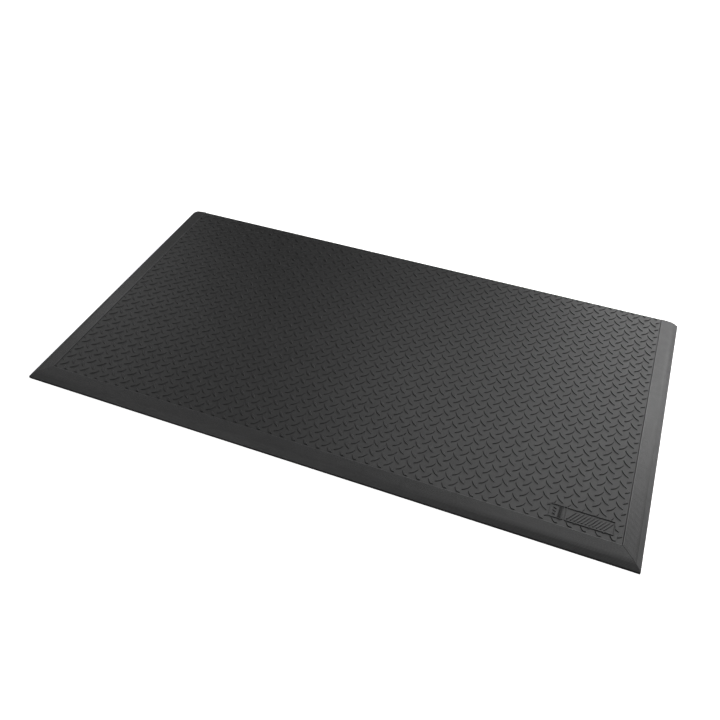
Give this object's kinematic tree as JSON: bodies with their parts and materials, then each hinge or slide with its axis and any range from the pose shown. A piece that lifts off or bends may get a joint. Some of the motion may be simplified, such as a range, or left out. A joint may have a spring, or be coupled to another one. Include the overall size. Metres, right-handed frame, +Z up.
{
  "type": "anti fatigue mat",
  "caption": "Rectangular anti-fatigue floor mat: diamond-tread rubber sheet on a foam core, bevelled ramps on three sides, square back edge.",
  "frame": {"origin": "on the floor, at the centre of the whole footprint with the ramps", "axes": "+X along the long front edge, to the right of a person standing at the front; +Y to the square back edge; +Z up"},
  "size_m": [1.276, 0.688, 0.015],
  "materials": {
    "tread_rubber": "satin",
    "ramp_rubber": "fine-grained matte",
    "cushion_foam": "closed-cell foam",
    "base_rubber": "matte"
  },
  "bodies": {
    "root": {"base_sheet": "base_rubber", "cushion_core": "cushion_foam", "tread_sheet": "tread_rubber", "ramp_left": "ramp_rubber", "ramp_front": "ramp_rubber", "ramp_right": "ramp_rubber"}
  },
  "joints": []
}
